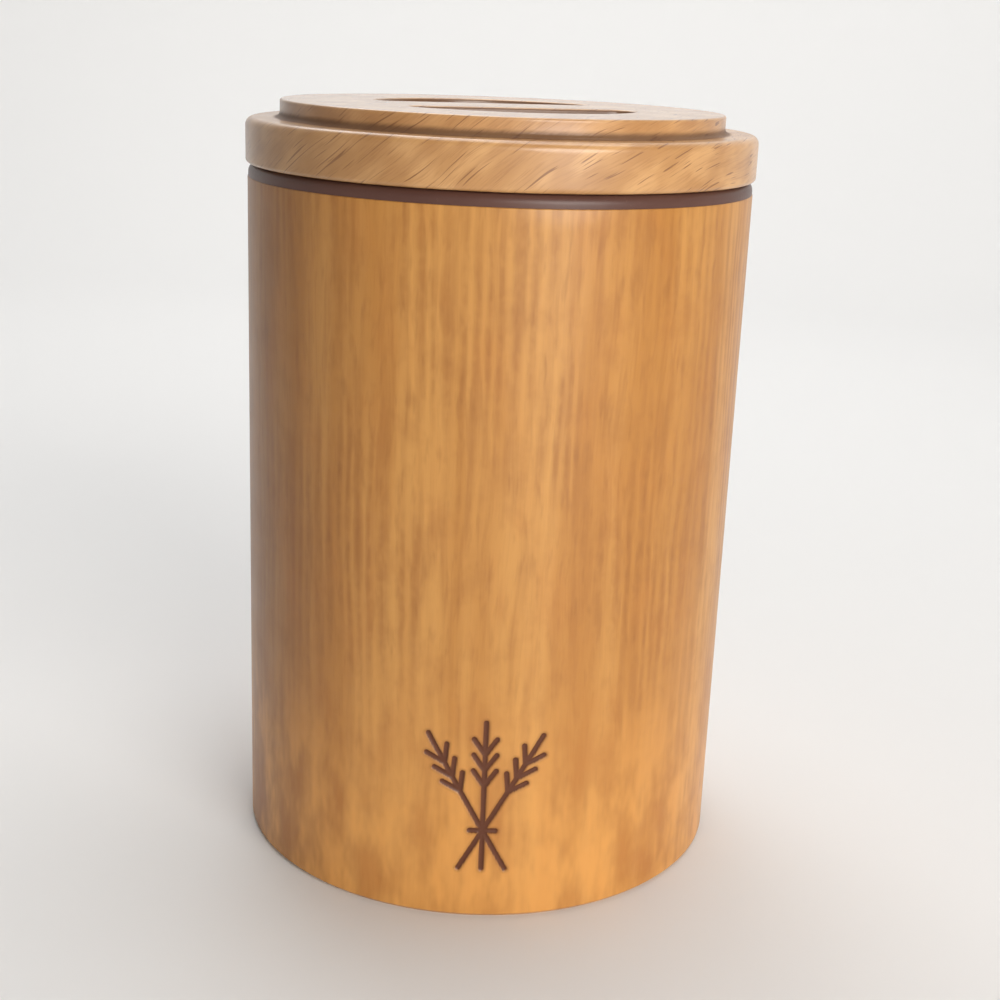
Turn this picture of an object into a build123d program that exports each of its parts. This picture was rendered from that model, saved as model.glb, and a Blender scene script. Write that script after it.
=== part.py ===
from build123d import *
import math
import os

# A wooden food canister. A bent laminated tube carries a plastic liner, whose rim rests
# on the tube, and a turned lid stands on that rim with a plug and a soft seal below it.
# Millimetres, +Z up. The origin is the centre of the base, and the marked front faces -Y.

# Wooden tube
body_radius = 80.0
body_height = 218.5
face_thickness = 1.0
core_thickness = 4.0
inner_thickness = 1.0
foot_bevel = 1.2
mouth_round = 0.4
seam_gap = 0.2

# Base panel, in a rabbet at the foot of the tube
base_raise = 2.0
base_thickness = 6.0
base_rabbet = 2.5

# Liner
liner_wall = 1.8
liner_clearance = 0.7
liner_draft = 0.5
liner_hover = 2.0
liner_corner = 6.0
rim_height = 4.0
rim_inset = 0.2
rim_round = 2.9
rim_mouth_round = 0.8

# Lid board
lid_overhang = 0.6
lid_thickness = 19.5
lid_foot_round = 1.3
step_inset = 10.6
step_height = 5.7
shoulder_round = 2.5
cove_round = 1.8
top_round = 0.8

# Grip: a round recess in the lid's top, crossed by a bar
grip_radius = 42.0
grip_bar = 26.5
grip_turn = 21.0
grip_corner = 5.5
grip_depth = 11.5
grip_edge_round = 1.0
grip_floor_round = 2.5

# Plug and seal
plug_thickness = 9.5
plug_clearance = 1.2
plug_chamfer = 1.0
seal_height = 3.5
seal_below_lid = 3.0
seal_gap = 0.3
seal_bite = 2.2
seal_play = 0.1
seal_lip_round = 0.9

# Screws that hold the plug, put in from below
screw_count = 4
screw_inset = 15.3
screw_turn = 45.0
screw_length = 16.0
shank_radius = 1.75
head_radius = 3.5
head_play = 0.1
shank_play = 0.15
tip_length = 2.5
drive_width = 0.9
drive_span = 3.6
drive_depth = 1.4

# Mark: three ears of wheat tied in a sheaf, grooved into the face veneer
mark_centre = 2.0
mark_foot = 17.0
mark_depth = 0.6
mark_stroke = 1.8
tie_height = 13.0
tie_width = 8.0
stalk_length = 36.0
stalk_leans = (-29.0, 0.0, 29.0)
ear_start = 15.0
grain_pairs = 3
grain_pitch = 5.2
grain_length = 6.2
grain_lean = 34.0

# Sizes that follow from those above
core_radius = body_radius - face_thickness
inner_radius = core_radius - core_thickness
bore_radius = inner_radius - inner_thickness
base_top = base_raise + base_thickness
rim_top = body_height + rim_height
lid_radius = body_radius + lid_overhang
lid_top = rim_top + lid_thickness
shoulder_top = lid_top - step_height
step_radius = lid_radius - step_inset
liner_foot = base_top + liner_hover
liner_radius = bore_radius - liner_clearance
liner_mouth_radius = liner_radius - liner_wall
plug_bottom = rim_top - plug_thickness
plug_radius = liner_mouth_radius - plug_clearance
screw_circle = plug_radius - screw_inset
seal_top = rim_top - seal_below_lid
seal_bottom = seal_top - seal_height


def ring(outer, inner, low, high):
    """A plain tube between two heights."""
    tube = Cylinder(outer, high - low, align=(Align.CENTER, Align.CENTER, Align.MIN))
    tube -= Cylinder(inner, high - low, align=(Align.CENTER, Align.CENTER, Align.MIN))
    return Pos(0, 0, low) * tube


def disc(radius, low, high):
    """A plain disc between two heights."""
    return Pos(0, 0, low) * Cylinder(
        radius, high - low, align=(Align.CENTER, Align.CENTER, Align.MIN)
    )


def turned(outline):
    """The solid of revolution about Z of a closed outline drawn in the X-Z plane."""
    return revolve(make_face(Plane.XZ * outline), Axis.Z)


def edges_at(part, height, radius=None):
    """The edges that lie level at a height, or only those round one radius."""
    level = part.edges().filter_by_position(Axis.Z, height - 0.001, height + 0.001)
    if radius is None:
        return level
    return level.filter_by(lambda edge: abs(edge.bounding_box().max.X - radius) < 0.001)


def reach(edge):
    """How far from Z the ends of an edge lie."""
    return max(math.hypot(end.X, end.Y) for end in (edge @ 0, edge @ 1))


# ---- mark -------------------------------------------------------------------------------


def stroke(line):
    """A line of the mark, at the mark's width and with rounded ends."""
    ends = [Pos(*line.position_at(end)) * Circle(mark_stroke / 2) for end in (0, 1)]
    return trace(line, mark_stroke) + ends


def stalk_point(lean, distance):
    """The point of a leaning stalk that lies a distance above the tie."""
    tie = Vector(mark_centre, mark_foot + tie_height)
    return tie + Vector(0, distance).rotate(Axis.Z, lean)


def grain(root, lean):
    """One grain of an ear, leaning out from its stalk."""
    return stroke(Line(root, root + Vector(0, grain_length).rotate(Axis.Z, lean)))


def make_ear(lean):
    """One stalk, from the foot of the mark through the tie to its tip, with its grains."""
    foot = -tie_height / math.cos(math.radians(lean))
    ear = stroke(Line(stalk_point(lean, foot), stalk_point(lean, stalk_length)))
    for pair in range(grain_pairs):
        root = stalk_point(lean, ear_start + pair * grain_pitch)
        ear += grain(root, lean + grain_lean)
        ear += grain(root, lean - grain_lean)
    return ear


def make_mark():
    """The whole mark as a flat sketch: X across, Y up the body."""
    tie = stalk_point(0, 0)
    half = Vector(tie_width / 2, 0)
    mark = stroke(Line(tie - half, tie + half))
    for lean in stalk_leans:
        mark += make_ear(lean)
    return mark


# ---- wooden body ------------------------------------------------------------------------


def foot_cutter():
    """What the bevel round the foot takes away, from the veneer and the core alike."""
    outline = Polyline(
        (body_radius - foot_bevel, 0),
        (body_radius + foot_bevel, 0),
        (body_radius + foot_bevel, 2 * foot_bevel),
        (body_radius - foot_bevel, 0),
    )
    return turned(outline)


def make_face_veneer():
    """The outer skin, with the mark grooved into it and its seam at the back."""
    veneer = ring(body_radius, core_radius, 0, body_height) - foot_cutter()
    veneer = fillet(edges_at(veneer, body_height, body_radius), mouth_round)
    skin = ring(body_radius + 1, body_radius - mark_depth, 0, body_height)
    veneer -= extrude(Plane.XZ * make_mark(), body_radius + 1) & skin
    through = 4 * face_thickness
    seam = Box(seam_gap, through, body_height, align=(Align.CENTER, Align.CENTER, Align.MIN))
    return veneer - Pos(0, body_radius, 0) * seam


def make_core_ply():
    """The thick middle layer of the tube, with the rabbet for the base panel."""
    core = ring(core_radius, inner_radius, 0, body_height) - foot_cutter()
    return core - disc(bore_radius + base_rabbet, 0, base_top)


def make_inner_ply():
    """The thin inside layer, which stops where the rabbet starts."""
    inner = ring(inner_radius, bore_radius, base_top, body_height)
    return fillet(edges_at(inner, body_height, bore_radius), mouth_round)


def make_base_panel():
    """The disc glued in the rabbet, a little above the table."""
    return disc(bore_radius + base_rabbet, base_raise, base_top)


# ---- liner ------------------------------------------------------------------------------


def make_liner():
    """A moulded tub with a little draft, whose hollow rim rests on the tube."""
    slope = math.tan(math.radians(liner_draft))
    cavity_top = rim_top - liner_wall
    foot_radius = liner_radius - slope * (cavity_top - liner_foot)
    rim_radius = body_radius - rim_inset
    lip_radius = rim_radius - liner_wall
    floor_radius = foot_radius - liner_wall
    floor = liner_foot + liner_wall
    outline = Polyline(
        (0, liner_foot),
        (foot_radius, liner_foot),
        (liner_radius, cavity_top),
        (lip_radius, cavity_top),
        (lip_radius, body_height),
        (rim_radius, body_height),
        (rim_radius, rim_top),
        (liner_mouth_radius, rim_top),
        (floor_radius, floor),
        (0, floor),
        (0, liner_foot),
    )
    tub = turned(outline)
    tub = fillet(edges_at(tub, liner_foot, foot_radius), liner_corner)
    tub = fillet(edges_at(tub, floor, floor_radius), liner_corner - liner_wall)
    tub = fillet(edges_at(tub, rim_top, rim_radius), rim_round)
    return fillet(edges_at(tub, rim_top, liner_mouth_radius), rim_mouth_round)


# ---- lid --------------------------------------------------------------------------------


def make_pocket(side):
    """One D-shaped finger pocket, beside the bar."""
    plan = Circle(grip_radius)
    plan -= Pos(0, -side * grip_radius) * Rectangle(2 * grip_radius, 2 * grip_radius + grip_bar)
    plan = fillet(plan.vertices(), grip_corner)
    pocket = extrude(Pos(0, 0, lid_top - grip_depth) * plan, grip_depth)
    pocket = fillet(edges_at(pocket, lid_top - grip_depth), grip_floor_round)
    return Rot(0, 0, grip_turn) * pocket


def screw_places():
    """Where the screws stand, as turns about Z and steps out from the middle."""
    for number in range(screw_count):
        yield Rot(0, 0, screw_turn + number * 360 / screw_count) * Pos(screw_circle, 0, plug_bottom)


def make_lid_board():
    """The turned lid: a wide lower tier, a narrower upper tier and the grip."""
    board = disc(lid_radius, rim_top, shoulder_top) + disc(step_radius, shoulder_top, lid_top)
    board = fillet(edges_at(board, shoulder_top, step_radius), cove_round)
    board = fillet(edges_at(board, shoulder_top, lid_radius), shoulder_round)
    board = fillet(edges_at(board, rim_top, lid_radius), lid_foot_round)
    board = fillet(edges_at(board, lid_top, step_radius), top_round)
    for side in (-1, 1):
        board -= make_pocket(side)
    mouths = edges_at(board, lid_top).filter_by(lambda edge: reach(edge) < grip_radius + 0.001)
    board = fillet(mouths, grip_edge_round)
    pilot = screw_solid()
    for place in screw_places():
        board -= place * pilot
    return board


def make_lid_plug():
    """The disc under the lid, with the seal's groove and the screw holes."""
    plug = disc(plug_radius, plug_bottom, rim_top)
    plug = chamfer(edges_at(plug, plug_bottom, plug_radius), plug_chamfer)
    groove_radius = plug_radius - seal_bite
    plug -= ring(plug_radius + 1, groove_radius, seal_bottom - seal_play, seal_top + seal_play)
    hole = screw_hole()
    for place in screw_places():
        plug -= place * hole
    return plug


def make_lid_seal():
    """The soft ring that closes the gap between the plug and the liner's wall."""
    slope = math.tan(math.radians(liner_draft))
    wall_radius = liner_mouth_radius - slope * (rim_top - seal_bottom)
    seal_radius = wall_radius - seal_gap
    hole_radius = plug_radius - seal_bite + seal_play
    seal = ring(seal_radius, hole_radius, seal_bottom, seal_top)
    lips = edges_at(seal, seal_top, seal_radius) + edges_at(seal, seal_bottom, seal_radius)
    return fillet(lips, seal_lip_round)


# ---- screws -----------------------------------------------------------------------------


def screw_solid():
    """One countersunk screw, point up, with its head flush at height 0."""
    head_height = head_radius - shank_radius
    outline = Polyline(
        (0, 0),
        (head_radius, 0),
        (shank_radius, head_height),
        (shank_radius, screw_length - tip_length),
        (0, screw_length),
        (0, 0),
    )
    return turned(outline)


def screw_hole():
    """The clearance hole for one screw through the plug."""
    mouth = head_radius + head_play
    neck = shank_radius + shank_play
    outline = Polyline(
        (0, 0),
        (mouth, 0),
        (neck, mouth - neck),
        (neck, plug_thickness),
        (0, plug_thickness),
        (0, 0),
    )
    return turned(outline)


def make_plug_screws():
    """The four screws as separate solids, each with a cross recess in its head."""
    screw = screw_solid()
    for turn in (0, 90):
        screw -= Rot(0, 0, turn) * Box(drive_span, drive_width, 2 * drive_depth)
    return Compound(children=[place * screw for place in screw_places()])


# ---- write every piece ------------------------------------------------------------------

pieces = {
    "face_veneer": make_face_veneer(),
    "core_ply": make_core_ply(),
    "inner_ply": make_inner_ply(),
    "base_panel": make_base_panel(),
    "liner": make_liner(),
    "lid_board": make_lid_board(),
    "lid_plug": make_lid_plug(),
    "lid_seal": make_lid_seal(),
    "plug_screws": make_plug_screws(),
}

os.makedirs("parts", exist_ok=True)
for name, piece in pieces.items():
    export_step(piece, f"parts/{name}.step")
    print(name, round(piece.volume), "cubic mm")
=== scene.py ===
import math

import bmesh
import bpy
import numpy as np
from mathutils import Matrix, Vector
from mathutils.geometry import delaunay_2d_cdt


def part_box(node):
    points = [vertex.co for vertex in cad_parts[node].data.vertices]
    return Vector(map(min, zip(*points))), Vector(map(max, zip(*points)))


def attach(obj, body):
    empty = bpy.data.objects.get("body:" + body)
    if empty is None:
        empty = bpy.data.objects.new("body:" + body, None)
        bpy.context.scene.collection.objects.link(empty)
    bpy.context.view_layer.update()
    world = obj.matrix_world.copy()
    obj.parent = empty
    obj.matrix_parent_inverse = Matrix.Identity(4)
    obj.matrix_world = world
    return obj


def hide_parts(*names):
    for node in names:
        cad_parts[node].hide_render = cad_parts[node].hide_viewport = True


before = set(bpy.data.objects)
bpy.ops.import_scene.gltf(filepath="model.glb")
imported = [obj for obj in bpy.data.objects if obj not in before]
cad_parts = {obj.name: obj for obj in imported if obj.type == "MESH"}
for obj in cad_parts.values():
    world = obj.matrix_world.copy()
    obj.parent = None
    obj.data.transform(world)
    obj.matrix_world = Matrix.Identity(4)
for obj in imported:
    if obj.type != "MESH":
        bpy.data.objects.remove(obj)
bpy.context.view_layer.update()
mm = 0.001
print("frame loaded:", len(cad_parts), "CAD nodes")


def reach(node):
    low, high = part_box(node)
    return max(-low.x, -low.y, high.x, high.y)


def heights(node):
    # a node's lowest and highest point, in millimetres
    return [corner.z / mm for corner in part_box(node)]


# heights and radii that several pieces share, all taken from the frame
tubeRadius = reach("face_veneer")
coreRadius = reach("core_ply")
innerRadius = reach("inner_ply")
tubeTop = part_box("face_veneer")[1].z
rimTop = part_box("liner")[1].z
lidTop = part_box("lid_board")[1].z


class Wire:
    # one output of a node; arithmetic on it adds Math nodes
    def __init__(self, tree, socket):
        self.tree = tree
        self.socket = socket

    def math(self, operation, *others):
        node = self.tree.nodes.new("ShaderNodeMath")
        node.operation = operation
        for slot, value in enumerate((self, *others)):
            plug(self.tree, node.inputs[slot], value)
        return Wire(self.tree, node.outputs[0])

    def swapped(self, operation, other):
        node = self.tree.nodes.new("ShaderNodeMath")
        node.operation = operation
        plug(self.tree, node.inputs[0], other)
        plug(self.tree, node.inputs[1], self)
        return Wire(self.tree, node.outputs[0])

    def __add__(self, other):
        return self.math("ADD", other)

    __radd__ = __add__

    def __sub__(self, other):
        return self.math("SUBTRACT", other)

    def __rsub__(self, other):
        return self.swapped("SUBTRACT", other)

    def __mul__(self, other):
        return self.math("MULTIPLY", other)

    __rmul__ = __mul__

    def __truediv__(self, other):
        return self.math("DIVIDE", other)

    def __rtruediv__(self, other):
        return self.swapped("DIVIDE", other)

    def __neg__(self):
        return self.math("MULTIPLY", -1.0)


def plug(tree, socket, value):
    if isinstance(value, Wire):
        tree.links.new(value.socket, socket)
    else:
        socket.default_value = value


class Bench:
    # a node tree being wired; node() makes any node there is
    def __init__(self, tree):
        self.tree = tree

    def node(self, kind, settings=None, values=None, out=0):
        made = self.tree.nodes.new(kind)
        for name, value in (settings or {}).items():
            setattr(made, name, value)
        for name, value in (values or {}).items():
            plug(self.tree, self.find(made.inputs, name), value)
        return Wire(self.tree, self.find(made.outputs, out))

    def find(self, sockets, name):
        if isinstance(name, int):
            return sockets[name]
        for socket in sockets:
            if socket.identifier == name and socket.enabled:
                return socket
        return next(s for s in sockets if s.name == name and s.enabled)

    def join(self, x, y, z=0.0):
        return self.node("ShaderNodeCombineXYZ", None, {"X": x, "Y": y, "Z": z})

    def split(self, vector):
        made = self.tree.nodes.new("ShaderNodeSeparateXYZ")
        plug(self.tree, made.inputs[0], vector)
        return [Wire(self.tree, made.outputs[axis]) for axis in range(3)]

    def noise(self, vector, detail=2.0, roughness=0.5):
        values = {"Vector": vector, "Scale": 1.0, "Detail": detail, "Roughness": roughness}
        return self.node("ShaderNodeTexNoise", {"noise_dimensions": "3D"}, values, "Fac")

    def fade(self, value, low, high):
        values = {"Value": value, "From Min": low, "From Max": high}
        return self.node("ShaderNodeMapRange", {"interpolation_type": "SMOOTHSTEP"}, values, "Result")

    def blend(self, factor, first, second):
        values = {"Factor_Float": factor, "A_Color": first, "B_Color": second}
        return self.node("ShaderNodeMix", {"data_type": "RGBA"}, values, "Result_Color")


def tone(red, green, blue):
    # an sRGB colour out of 255, as the linear colour that shaders take
    parts = [channel / 255 for channel in (red, green, blue)]
    return [p / 12.92 if p <= 0.04045 else ((p + 0.055) / 1.055) ** 2.4 for p in parts] + [1.0]


def newMaterial(name):
    material = bpy.data.materials.new(name)
    material.use_nodes = True
    material.node_tree.nodes.clear()
    return material, Bench(material.node_tree)


def finishMaterial(bench, colour, roughness, height=None, distance=0.1, **fixed):
    # the shader itself: fixed values go straight on its sockets
    values = {"Base Color": colour, "Roughness": roughness}
    values.update({name.replace("_", " "): value for name, value in fixed.items()})
    if height is not None:
        bump = {"Strength": 1.0, "Distance": distance * mm, "Height": height}
        values["Normal"] = bench.node("ShaderNodeBump", None, bump, "Normal")
    shader = bench.node("ShaderNodeBsdfPrincipled", None, values, "BSDF")
    output = bench.tree.nodes.new("ShaderNodeOutputMaterial")
    bench.tree.links.new(shader.socket, output.inputs["Surface"])


def objectPlace(bench):
    # where a point lies, in millimetres, as x, y, z and as a distance from the axis
    place = bench.node("ShaderNodeTexCoord", None, None, "Object")
    x, y, z = (part * 1000.0 for part in bench.split(place))
    return x, y, z, (x * x + y * y).math("SQRT")


def grain(bench, across, along, size, seed, detail=2.0, roughness=0.5):
    # noise drawn out along the fibres; size is how wide and how long its patches are
    place = bench.join(across / size[0], along / size[1], seed)
    return bench.noise(place, detail, roughness)


def solidGrain(bench, spot, size, detail=2.0, roughness=0.5):
    # noise through the whole block, with a patch size along each axis
    scaled = [part / length for part, length in zip(spot, size)]
    return bench.noise(bench.join(*scaled), detail, roughness)


def around(x, y):
    # how far round the tube a point lies, measured along its skin
    return x.math("ARCTAN2", -y) * veneer["radius"]


veneer = {
    "radius": 80.0,
    "ringPitch": 4.1,
    "pale": tone(202, 146, 77),
    "gold": tone(184, 126, 59),
    "brown": tone(150, 93, 41),
    "deep": tone(134, 80, 36),
    # painted shade laid over the tube's left side, and where it starts
    "paintedShade": tone(104, 62, 28),
    "paintedShadeFrom": -28.0,
    "foot": tone(227, 160, 82),
    "ruddy": tone(190, 116, 50),
    "footHeight": (12.0, 95.0),
    "calmHeight": (20.0, 130.0),
    "burnt": tone(94, 50, 27),
    "halo": tone(132, 78, 38),
    "burnEdge": (0.6, 1.05),
    "haloEdge": (0.8, 2.0),
    "coat": 0.26,
    "coatRoughness": 0.24,
    "specular": 0.36,
}


def veneerMaterial():
    material, bench = newMaterial("goldenVeneer")
    x, y, z, _ = objectPlace(bench)
    turn = around(x, y)
    drift = grain(bench, turn, z, (45.0, 190.0), 3.0, 1.0) * 9.0
    sway = grain(bench, turn, z, (9.0, 34.0), 7.0, 1.0) * 2.2
    lines = turn + drift + sway
    uneven = grain(bench, lines, z, (15.0, 260.0), 21.0, 1.0) * 2.4
    rings = ((lines / veneer["ringPitch"] + uneven) * math.tau).math("SINE") * 0.5 + 0.5
    shown = bench.fade(grain(bench, lines, z, (24.0, 70.0), 17.0, 1.0), 0.38, 0.6)
    broken = bench.fade(grain(bench, turn, z, (6.0, 8.0), 13.0, 2.0, 0.6), 0.32, 0.62)
    broad = grain(bench, lines, z, (16.0, 260.0), 1.0)
    streaks = grain(bench, lines, z, (3.2, 44.0), 11.0, 2.0, 0.55)
    flecks = grain(bench, lines, z, (2.4, 12.0), 9.0)
    fibres = grain(bench, lines, z, (0.6, 12.0), 5.0, 2.0, 0.6)
    clouds = grain(bench, turn, z, (13.0, 15.0), 2.0, 3.0, 0.6)
    worn = grain(bench, turn, z, (13.0, 38.0), 31.0, 3.0, 0.6)

    # the growth rings and the flecks fade towards the foot
    colour = bench.blend(bench.fade(broad, 0.36, 0.66), veneer["pale"], veneer["gold"])
    strength = bench.fade(z, *veneer["calmHeight"]) * 0.5 + 0.5
    lined = rings * (broken * 0.5 + 0.5) * (shown * 0.46 + 0.06)
    colour = bench.blend(lined * strength, colour, veneer["brown"])
    colour = bench.blend(bench.fade(streaks, 0.44, 0.74) * strength * 0.36, colour, veneer["brown"])
    colour = bench.blend(bench.fade(flecks, 0.5, 0.8) * strength * 0.3, colour, veneer["deep"])
    colour = bench.blend(bench.fade(fibres, 0.46, 0.78) * 0.1, colour, veneer["deep"])
    colour = bench.blend(bench.fade(clouds, 0.46, 0.74) * 0.24, colour, veneer["brown"])
    # painted shade: the veneer darkens towards the tube's left side
    left = 1.0 - bench.fade(x, -veneer["radius"], veneer["paintedShadeFrom"])
    colour = bench.blend(left * 0.58, colour, veneer["paintedShade"])

    # handled and wiped low down: pale and ruddy patches
    low = 1.0 - bench.fade(z, *veneer["footHeight"])
    colour = bench.blend(low * bench.fade(worn, 0.34, 0.66) * 0.75, colour, veneer["foot"])
    ruddy = (1.0 - bench.fade(worn, 0.28, 0.56)) * (low * 0.3 + 0.12)
    colour = bench.blend(ruddy, colour, veneer["ruddy"])

    # the burnt mark with a scorched edge
    near = bench.node("ShaderNodeAttribute", {"attribute_name": "markDistance"}, None, "Fac") / mm
    ragged = near + (fibres - 0.5) * 0.5
    halo = 1.0 - bench.fade(ragged, *veneer["haloEdge"])
    burn = 1.0 - bench.fade(ragged, *veneer["burnEdge"])
    colour = bench.blend(halo * 0.4, colour, veneer["halo"])
    colour = bench.blend(burn, colour, veneer["burnt"])

    height = fibres * 0.5 + flecks * 0.3
    roughness = 0.38 + clouds * 0.12 + burn * 0.25
    finishMaterial(
        bench, colour, roughness, height, 0.05, Coat_Weight=veneer["coat"],
        Coat_Roughness=veneer["coatRoughness"], Specular_IOR_Level=veneer["specular"])
    return material


lidTimber = {
    "radius": 80.0,
    "fibreTurn": 14.0,
    "rayTilt": 36.0,
    "creaseRadius": 70.2,
    "creaseHeight": 236.5,
    "creaseWidth": (0.8, 2.6),
    "gripRadius": 44.0,
    "gripShade": (60.0, 14.0),
    "pale": tone(207, 158, 103),
    "base": tone(186, 136, 82),
    "brown": tone(150, 100, 57),
    "ray": tone(122, 76, 42),
    "rayEdge": (0.69, 0.76),
    "scarceFrom": (-20.0, 70.0),
    # painted shade laid over the lid's left side, and where it starts
    "paintedShade": tone(108, 80, 52),
    "paintedShadeFrom": -5.0,
    # dirt and painted shade for the crease between the steps
    "creaseDirtAndShade": tone(88, 56, 34),
    # painted shade with a darker finish, for inside the grip's pockets
    "inside": tone(88, 54, 36),
    "coatRoughness": 0.2,
}


def lidTimberMaterial():
    # straight fibres across the lid, and medullary rays as short dark slanting strokes
    material, bench = newMaterial("turnedHardwood")
    x, y, z, radius = objectPlace(bench)
    fibreTurn, rayTilt = math.radians(lidTimber["fibreTurn"]), math.radians(lidTimber["rayTilt"])
    level = {"Vector": bench.join(x, y, z), "Rotation": (0.0, 0.0, fibreTurn)}
    turned = bench.node("ShaderNodeMapping", None, level, "Vector")
    tilt = {"Vector": turned, "Rotation": (0.0, rayTilt, 0.0)}
    along, fibre, across = bench.split(bench.node("ShaderNodeMapping", None, tilt, "Vector"))
    bent = across + solidGrain(bench, (along, fibre, across), (26.0, 60.0, 24.0), 1.0) * 6.0
    spot = (along, fibre, bent)
    rays = solidGrain(bench, spot, (15.0, 8.0, 0.46), 0.0)
    fine = solidGrain(bench, spot, (7.0, 9.0, 0.4), 1.5, 0.6)
    bands = solidGrain(bench, spot, (40.0, 40.0, 3.0))
    clouds = solidGrain(bench, spot, (16.0, 16.0, 9.0))

    colour = bench.blend(bench.fade(clouds, 0.35, 0.65), lidTimber["pale"], lidTimber["base"])
    colour = bench.blend(bench.fade(bands, 0.42, 0.7) * 0.2, colour, lidTimber["brown"])
    colour = bench.blend(bench.fade(fine, 0.46, 0.7) * 0.3, colour, lidTimber["brown"])
    scarce = bench.fade(x, *lidTimber["scarceFrom"]) * 0.02
    ray = bench.fade(rays - scarce, *lidTimber["rayEdge"])
    colour = bench.blend(ray * 0.72, colour, lidTimber["ray"])
    # painted shade: the lid darkens towards its left side
    left = 1.0 - bench.fade(x, -lidTimber["radius"], lidTimber["paintedShadeFrom"])
    colour = bench.blend(left * 0.42, colour, lidTimber["paintedShade"])

    # darker inside the grip's pockets, and dirt with painted shade in the crease between the steps
    top = lidTop / mm
    # painted shade with a darker finish inside the grip's pockets
    sunk = 1.0 - bench.fade(z, top - 0.5, top - 0.05)
    shadedPocket = (1.0 - bench.fade(radius, lidTimber["gripRadius"] - 0.5, lidTimber["gripRadius"])) * sunk
    deepest, highest = (top - depth for depth in lidTimber["gripShade"])
    colour = bench.blend(shadedPocket * bench.fade(z, deepest, highest) * 0.8, colour, lidTimber["inside"])
    out, up = radius - lidTimber["creaseRadius"], z - lidTimber["creaseHeight"]
    crease = (out * out + up * up).math("SQRT") + (fine - 0.5) * 1.2
    creaseDirtAndShade = 1.0 - bench.fade(crease, *lidTimber["creaseWidth"])
    colour = bench.blend(creaseDirtAndShade * 0.8, colour, lidTimber["creaseDirtAndShade"])

    # the flat top is polished smoother than the turned edge
    flat = bench.fade(z, top - 0.3, top - 0.1)
    height = (fine * 0.5 + bands * 0.2 - ray * 0.4) * (1.0 - flat * 0.85)
    roughness = 0.38 + clouds * 0.1 + creaseDirtAndShade * 0.3
    gloss = 0.6 + flat * 0.4 - creaseDirtAndShade * 0.4
    finishMaterial(
        bench, colour, roughness, height, 0.08,
        Coat_Weight=gloss, Coat_Roughness=lidTimber["coatRoughness"])
    return material


plugTimber = {
    "pale": tone(214, 170, 116),
    "base": tone(194, 144, 90),
    "brown": tone(156, 106, 60),
    "ringPitch": 6.5,
    "coat": 0.15,
    "coatRoughness": 0.3,
}


def plugTimberMaterial():
    # a flat-sawn disc: long grain across it, pores as short dark dashes
    material, bench = newMaterial("plainTimber")
    x, y, z, _ = objectPlace(bench)
    lines = y + grain(bench, x, y, (60.0, 30.0), 4.0, 1.0) * 14.0
    uneven = bench.noise(bench.join(lines / 20.0, 0.0, 8.0), 1.0) * 2.0
    rings = ((lines / plugTimber["ringPitch"] + uneven) * math.tau).math("SINE") * 0.5 + 0.5
    pores = solidGrain(bench, (x, lines, z), (5.0, 0.45, 0.6), 1.0)
    broad = solidGrain(bench, (x, lines, z), (90.0, 12.0, 12.0))
    colour = bench.blend(bench.fade(broad, 0.36, 0.66), plugTimber["pale"], plugTimber["base"])
    colour = bench.blend(rings * 0.34, colour, plugTimber["brown"])
    colour = bench.blend(bench.fade(pores, 0.6, 0.76) * 0.5, colour, plugTimber["brown"])
    finishMaterial(
        bench, colour, 0.5 + pores * 0.1, pores * -0.6, 0.06,
        Coat_Weight=plugTimber["coat"], Coat_Roughness=plugTimber["coatRoughness"])
    return material


plywood = {
    "layer": 1.333,
    "firstLayer": 0.37,
    "pale": tone(214, 178, 132),
    "base": tone(196, 152, 102),
    "grain": tone(150, 104, 62),
    "glue": tone(150, 108, 70),
}


def plyMaterial(name, layered):
    # plywood whose layers lie along the axis ("z") or round it ("radius")
    material, bench = newMaterial(name)
    x, y, z, radius = objectPlace(bench)
    depth = z if layered == "z" else radius
    layer = (depth / plywood["layer"] + plywood["firstLayer"]).math("FRACT")
    dark = bench.fade(layer, 0.46, 0.54) * (1.0 - bench.fade(layer, 0.94, 1.0))
    if layered == "z":
        fine = solidGrain(bench, (x, y, z), (24.0, 1.4, 3.0), 3.0, 0.6)
        broad = solidGrain(bench, (x, y, z), (120.0, 11.0, 5.0), 1.0)
    else:
        spot = (around(x, y), z, radius)
        fine = solidGrain(bench, spot, (1.3, 26.0, 3.0), 3.0, 0.6)
        broad = solidGrain(bench, spot, (10.0, 130.0, 5.0), 1.0)
    colour = bench.blend(bench.fade(broad, 0.35, 0.7), plywood["pale"], plywood["base"])
    colour = bench.blend(bench.fade(fine, 0.5, 0.72) * 0.5, colour, plywood["grain"])
    colour = bench.blend(dark * 0.35, colour, plywood["glue"])
    finishMaterial(bench, colour, 0.62 + fine * 0.12, fine, 0.08)
    return material


plastic = {
    "light": tone(91, 61, 52),
    "dark": tone(85, 56, 48),
    "speck": tone(128, 96, 84),
    "specular": 0.38,
}


def plasticMaterial():
    material, bench = newMaterial("brownPlastic")
    x, y, z, _ = objectPlace(bench)
    flow = solidGrain(bench, (x, y, z), (30.0, 30.0, 12.0))
    specks = solidGrain(bench, (x, y, z), (1.1, 1.1, 1.1), 3.0, 0.6)
    colour = bench.blend(bench.fade(flow, 0.35, 0.7), plastic["light"], plastic["dark"])
    colour = bench.blend(bench.fade(specks, 0.62, 0.8) * 0.3, colour, plastic["speck"])
    height = flow * 0.8 + specks * 0.2
    roughness = 0.3 + specks * 0.14
    finishMaterial(bench, colour, roughness, height, 0.05, Specular_IOR_Level=plastic["specular"])
    return material


rubber = {"clean": tone(192, 178, 156), "dusty": tone(168, 152, 128)}


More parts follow.
